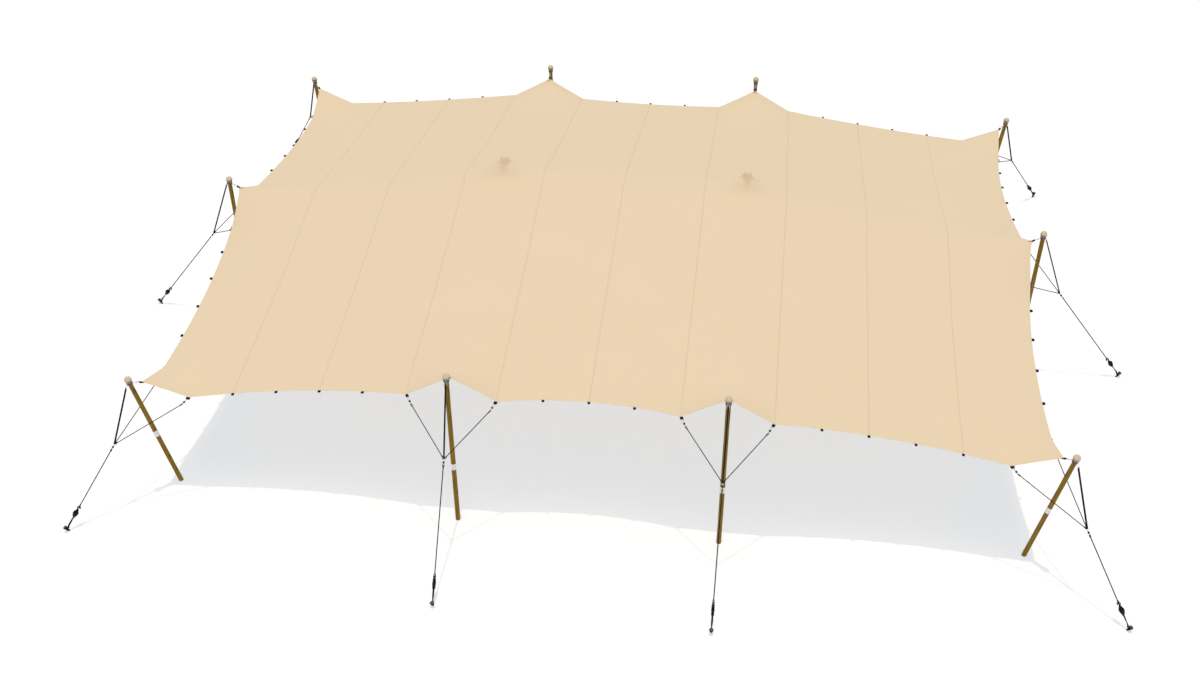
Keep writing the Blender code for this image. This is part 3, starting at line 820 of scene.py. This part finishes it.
def roped(start, end, radius):  # a rope with an eye at both ends
    way = unit(end - start)
    side = unit(np.cross(way, upward))
    first, throat = ropeEye(start, way, side, radius)
    second, farThroat = ropeEye(end, -way, side, radius)
    return first + second + [sweep([throat, farThroat], circle(radius), side)]


def chained(start, way, side, first, second):
    # Two steel links with a round black swivel between them, each a lap into the next. Gives them and where
    # the rope goes on
    width, wire = ties["smallLink"]
    (radius, half), lap = ties["swivel"], ties["lap"]
    middle = start + way * (first + half - lap)
    bead = turned(middle, way, [(radius * r, half * h) for r, h in swivelOutline], 18)
    far = middle + way * (half + second / 2 - lap)
    links = [steelLink(start + way * first / 2, way, side, first, width, wire),
             steelLink(far, way, np.cross(way, side), second, width, wire)]
    return links, bead, far + way * (second / 2 - lap - 0.001)


def strapped(start, end, side):  # a strap out and back, sewn together near both ends
    way = unit(end - start)
    loop = stadium(start, end, ties["hangGap"], np.cross(way, side))
    near, far, sewn = start + way * ties["keeperPlace"], end - way * ties["keeperPlace"], way * ties["keeper"]
    return [strap(loop, "hang", side, True), strap([near, near + sewn], "hangKeeper", side),
            strap([far - sewn, far], "hangKeeper", side)]


def tipStraps(kind, signs, tip, way):
    # Two straps sewn one on the other under the cloth's tip, which hold the link
    u, v = stationPlaces[kind]["cut"]
    i, j = netIndex(signs[0] * u, signs[1] * v)
    back = (i - int(signs[0]) * (kind != "longSide"), j - int(signs[1]) * (kind != "shortSide"))
    inward = unit(net[back] - tip)
    normal = netNormal[i, j] * np.sign(netNormal[i, j][2])
    side = unit(np.cross(normal, inward))
    middle = tip + way * ties["tipReach"]
    shapes = []
    for sign in (-1, 1):
        drop = normal * (cover["thickness"] + straps["tip"][1] * (1.1 + 0.52 * sign))
        path = bent([tip + inward * ties["tipInside"] - drop, tip - drop + inward * 0.004,
                     middle - way * 0.022 - drop * 0.6 - normal * sign * 0.004,
                     middle - normal * sign * 0.002], 5)
        shapes.append(strap(path, "tip", side))
    return shapes


# Ratchet, hook and tail strap, placed along the guy from the stake's eye

ratchet = {  # pins are a place along the ratchet, a rise and a radius
    "start": 0.235, "length": 0.155, "rise": 0.041, "drop": 0.034, "end": 0.005, "fullest": 1.3,
    "slit": 0.0045, "cheek": 0.0225, "lever": 0.0182, "plate": (0.0026, 0.0006), "floor": 0.0026,
    "roof": 0.0024, "wheel": 0.0185, "wheelPlate": (0.003, 0.0004), "teeth": 14, "toothFoot": 0.80,
    "spindle": 0.096, "spindleRadius": 0.0075, "nut": (0.0062, 0.004, 6), "hub": (0.006, 0.003, 6),
    "roll": (0.0215, 0.031, 26),
    "pins": ((0.013, -0.003, 0.0040), (0.142, -0.003, 0.0040), (0.026, 0.021, 0.0055)),
}
tailPin, hookPin = (ratchet["start"] + along for along, _, _ in ratchet["pins"][:2])


def ratchetShapes(at, line, level, rise):
    # Its sides swell like a sine of the share of its length to a power, above and below the strap's line
    length, end = ratchet["length"], ratchet["end"]
    start = at(ratchet["start"])
    share = np.linspace(0.0, 1.0, 15)
    swell = np.sin(math.pi * share ** ratchet["fullest"])
    top = np.stack([length * share, ratchet["rise"] * swell + end], axis=-1)
    bottom = np.stack([length * share, -ratchet["drop"] * swell - end], axis=-1)
    slit = np.stack([length * share, ratchet["slit"] * swell], axis=-1)
    sides = ((np.concatenate([bottom, slit[::-1] - (0.0, 0.0006)]), ratchet["cheek"]),
             (np.concatenate([slit[1:-1] + (0.0, 0.0026), top[-2:0:-1]]), ratchet["lever"]))
    teeth = np.arange(ratchet["teeth"] * 2)
    wheel = circle(ratchet["wheel"], len(teeth)) * np.where(teeth % 2, ratchet["toothFoot"], 1.0)[:, None]
    spindle = start + line * ratchet["spindle"]
    black = []
    for out in (-level, level):
        black += [plate(side, *ratchet["plate"], start + out * apart, line, rise) for side, apart in sides]
        hub = spindle + out * (ratchet["cheek"] + 0.0033)
        black.append(plate(wheel, *ratchet["wheelPlate"], hub, line, rise))
        black.append(pin(hub + out * 0.002, level, *ratchet["hub"]))
    floor = start + bottom[2:-2, :1] * line + (bottom[2:-2, 1:] + 0.0015) * rise
    roof = start + top[3:11, :1] * line + (top[3:11, 1:] - 0.0012) * rise
    black.append(sweep(floor, flatStrap(2 * ratchet["cheek"], ratchet["floor"]), level))
    black.append(sweep(roof, flatStrap(2 * ratchet["lever"], ratchet["roof"]), level))
    wide = 2 * ratchet["cheek"] + 0.007
    for along, up, radius in ratchet["pins"]:
        place = start + line * along + rise * up
        black.append(pin(place, level, radius, wide if up < 0 else 2 * ratchet["lever"] + 0.004))
        if up < 0:  # the two low pins hold the straps, and have a nut at each end
            black += [pin(place + out * wide / 2, level, *ratchet["nut"]) for out in (-level, level)]
    black.append(pin(spindle, level, ratchet["spindleRadius"], wide))
    return black, pin(spindle + rise * 0.001, level, *ratchet["roll"])


hook = {  # places along the guy, and the wire's with their rise
    "ring": 0.401, "ringSize": (0.046, 0.022), "ringWire": 0.0042, "apart": 0.0125, "pin": (0.0066, 0.034),
    "strapEnd": 0.392, "strapGap": 0.0110, "ropeEnd": 0.449,
    "wire": ((0.400, 0.0), (0.414, 0.004), (0.428, 0.017), (0.446, 0.017), (0.459, 0.001), (0.455, -0.018),
             (0.440, -0.025), (0.426, -0.021)),
    "thick": ((0.0, 0.0062), (0.1, 0.0074), (0.8, 0.0072), (1.0, 0.0062)),
}


def hookShapes(at, line, level, rise):
    # Two bent wires side by side, their tips joined, on a ring that takes the ratchet's short strap
    ring = oval(at(hook["ring"]), level, line, *hook["ringSize"])
    shapes = [sweep(ring, circle(hook["ringWire"]), rise, True)]
    for sign in (-1, 1):
        path = bent([at(along) + rise * up + level * sign * hook["apart"] for along, up in hook["wire"]], 5)
        thick = np.interp(np.linspace(0, 1, len(path)), *zip(*hook["thick"]))
        shapes.append(sweep(path, thick[:, None, None] * circle(1.0), level))
    for along, up in (hook["wire"][1], hook["wire"][-1]):
        shapes.append(pin(at(along) + rise * up, level, *hook["pin"]))
    return shapes


def tailShapes(at, eye, line, lean, level):
    # A loop round the stake, then two layers that turn a quarter just before the ratchet's pin
    side = squareTo(line, lean)
    hand = np.cross(lean, side)
    roundStake = eye + (stake["neck"] + 0.0038) * arc(np.radians(np.linspace(62, 298, 15)), side, hand)
    join = eye + side * 0.040
    loop = np.concatenate([[join + hand * 0.0036], roundStake, [join - hand * 0.0036]])
    path = bent([join - side * 0.006, at(0.075), at(tailPin)], 8)
    turn = np.clip(np.linspace(-0.9, 1.25, len(path)), 0.0, 1.0) * math.pi / 2
    aside = arc(turn, lean, level * np.sign(level @ hand))
    return [strap(loop, "loop", lean, True), strap(path, "tail", aside),
            strap(path[:4], "tailKeeper", aside[:4])]


# Ground stakes

stakeOutline = (
    (0.0, 0.0), (0.011, 0.0004), (0.023, 0.0024), (0.031, 0.0066), (0.0355, 0.0130), (0.036, 0.0190),
    (0.0345, 0.0245), (0.0310, 0.0285), (0.0225, 0.0305), (0.0193, 0.0325), (0.019, 0.036),
)


def stakeShape(foot, lean):
    outline = [(0.0, 0.0), (stake["neck"], 0.0)]
    outline += [(radius, stake["height"] - drop) for radius, drop in stakeOutline[::-1]]
    return turned(foot, lean, outline, 28, flatFoot=True)


def dressPole(before, label, foot, top, headSolid):
    # Timber, sleeve and head of one pole. What comes before their names is empty for an edge pole
    for name, node, slotName, finish, shapes in (
            ("timber_", "pole_", "pole_timber", timber, [poleShape(foot, top)]),
            ("joint_", "sleeve_", "sleeve_alloy", alloy, sleeveShapes(foot, top)),
            ("ball_", "head_", "head_plastic", rubber, [headSolid])):
        makePiece(before + name + label, [(finish, shapes)], slotName, [before + node + label])


def dressStation(label, kind, signs):
    place = stationPlaces[kind]
    keys = ("foot", "head", "tip", "knot", "stake")
    foot, ball, tip, knot, ground = (mirrored(place[key], signs) for key in keys)
    axis = unit(ball - foot)
    out = unit((ground - ball) * (1.0, 1.0, 0.0))
    lean = out * math.sin(math.radians(stake["lean"])) + upward * math.cos(math.radians(stake["lean"]))
    eye = ground + lean * stake["eye"]
    line = unit(knot - eye)
    level = unit(np.cross(line, upward))
    rise = np.cross(level, line)

    def at(distance):  # a point on the guy, measured from the stake's eye
        return eye + line * distance

    top = ball + axis * (head["collar"][-1][1] - pole["gap"])
    dressPole("", label, foot, top, headShape(ball, axis))
    makePiece("peg_" + label, [(pegSteel, [stakeShape(ground, lean)])], "stake_steel", ["stake_" + label])

    soft, cordage, bright, black = [], [], [], []
    collar = ball + axis * head["linkDrop"]
    band = squareTo(out, axis)
    ring = collar + head["ring"] * arc(fullTurn(32), band, np.cross(axis, band))
    black.append(sweep(ring, circle(head["ringWire"], 8), axis, True))

    # tip strap and two chained links up to the collar's ring
    way = unit(collar - tip)
    side = unit(np.cross(way, upward))
    soft += tipStraps(kind, signs, tip, way)
    middle = ties["tipReach"] + ties["link"][0] / 2 - ties["tipLap"]
    bright.append(steelLink(tip + way * middle, way, side, *ties["link"]))
    begin = middle + ties["link"][0] / 2 - ties["linkLap"]
    end = np.linalg.norm(collar - tip) - head["ring"] + ties["lap"]
    bright.append(steelLink(tip + way * (begin + end) / 2, way, np.cross(side, way), end - begin,
                            *ties["upperLink"]))

    # link and strap down from the collar to the knot
    hang = collar + band * head["ring"]
    down = unit(knot - hang)
    across = unit(np.cross(down, upward))
    linkEnd = place["hangLink"] - ties["hangLap"]
    bright.append(steelLink(hang + down * linkEnd / 2, down, across, place["hangLink"], *ties["wideLink"]))
    soft += strapped(hang + down * linkEnd, knot - down * ties["strapToKnot"], across)

    # bridle ropes from the cover's edge to the knot
    for (u, v), point in zip(place["loopCuts"], place["loops"]):
        edge = mirrored(point, signs)
        toKnot = unit(knot - edge)
        pull = unit(toKnot - upward * ties["chainSag"])
        soft.append(loopShape(signs[0] * u, signs[1] * v, pull))
        across = unit(np.cross(pull, upward))
        start = edge + pull * (edgeLoop["reach"] - ties["linkLap"])
        links, bead, ropeStart = chained(start, pull, across, *ties["edgeLinks"])
        bright += links
        black.append(bead)
        cordage += roped(ropeStart, knot - toKnot * ties["bridleToKnot"], ties["bridle"])

    # ring at the knot, and the links and swivel under it
    radius, wire = ties["knotRing"]
    ring = knot + radius * arc(fullTurn(26), line, level)
    bright.append(sweep(ring, circle(wire), rise, True))
    links, bead, ropeStart = chained(knot - line * (radius - wire), -line, rise, *ties["knotLinks"])
    bright += links
    black.append(bead)
    cordage += roped(ropeStart, at(hook["ropeEnd"]), ties["guy"])

    # hook, ratchet and tail strap
    black += hookShapes(at, line, level, rise)
    short = stadium(at(hookPin), at(hook["strapEnd"]), hook["strapGap"], rise)
    soft.append(strap(short, "hook", level, True))
    metal, roll = ratchetShapes(at, line, level, rise)
    black += metal
    soft += [roll] + tailShapes(at, eye, line, lean, level)

    makePiece("ropes_" + label, [(rope, cordage), (webbing, soft)], "tie_webbing", ["guy_" + label])
    metals = [(brightSteel, bright), (blackSteel, black)]
    makePiece("fittings_" + label, metals, "stake_steel", ["guy_" + label])


for label, kind, signs in stations:
    dressStation(label, kind, signs)
print("stations dressed,", len(stations))

for label, sign in (("left", -1), ("right", 1)):
    foot = np.array([sign * cover["peakX"], 0.0, 0.0])
    peak = foot + upward * (cover["peakHeight"] - kingHead["under"])
    top = peak - upward * (kingHead["outline"][-1][1] + pole["gap"])
    outline = [(radius, -drop) for radius, drop in kingHead["outline"]]
    dressPole("king_", label, foot, top, turned(peak, upward, outline, 32))
print("king poles dressed")


# Floor, light and camera

studio = {  # a lamp is a strength, a width in degrees and a lean
    "floorSize": 400.0, "floorDepth": 0.001, "floorColour": (0.620, 0.528, 0.438),
    "floorGlow": (0.394, 0.488, 0.580), "sky": 0.50,
    "lamps": ((1.09, 0.7, -0.0154), (0.32, 14.0, -0.10), (0.17, 14.0, -0.30), (0.05, 14.0, -0.50),
              (0.13, 14.0, 0.65)),
}

half = studio["floorSize"] / 2
corners = [(x * half, y * half, -studio["floorDepth"]) for x, y in ((-1, -1), (1, -1), (1, 1), (-1, 1))]
floorMesh = bpy.data.meshes.new("floor")
floorMesh.from_pydata(corners, [], [(0, 1, 2, 3)])
floor = bpy.data.objects.new("floor", floorMesh)
bpy.context.scene.collection.objects.link(floor)
floorLook = Finish("floor_white", Roughness=1.0, Specular_IOR_Level=0.0, Base_Color=studio["floorColour"],
                   Emission_Color=studio["floorGlow"], Emission_Strength=1.0)
floorMesh.materials.append(floorLook.material)

world = bpy.data.worlds.new("studio_white")
bpy.context.scene.world = world
world.use_nodes = True
backdrop = world.node_tree.nodes["Background"].inputs
backdrop["Color"].default_value = (1.0, 1.0, 1.0, 1.0)
backdrop["Strength"].default_value = studio["sky"]

# A sharp light from above and soft ones, each leaning its own way towards the front or back
for strength, size, lean in studio["lamps"]:
    lampData = bpy.data.lights.new("lamp", "SUN")
    lampData.energy = strength
    lampData.angle = math.radians(size)
    lamp = bpy.data.objects.new("lamp", lampData)
    lamp.rotation_euler = Vector((0.0, lean, 1.0)).to_track_quat("Z", "Y").to_euler()
    bpy.context.scene.collection.objects.link(lamp)

view = {"place": (2.3893, -22.5008, 17.3379), "yaw": -0.1261, "pitch": -0.6531, "roll": 0.0003, "lens": 42.44}

cameraData = bpy.data.cameras.new("camera")
cameraData.lens = view["lens"]
cameraData.sensor_width = 36.0
cameraData.clip_end = 1000.0
camera = bpy.data.objects.new("camera", cameraData)
camera.location = view["place"]
camera.rotation_euler = (math.pi / 2 + view["pitch"], view["roll"], -view["yaw"])
bpy.context.scene.collection.objects.link(camera)
bpy.context.scene.camera = camera
bpy.context.scene.view_settings.view_transform = "Standard"
print("studio set")
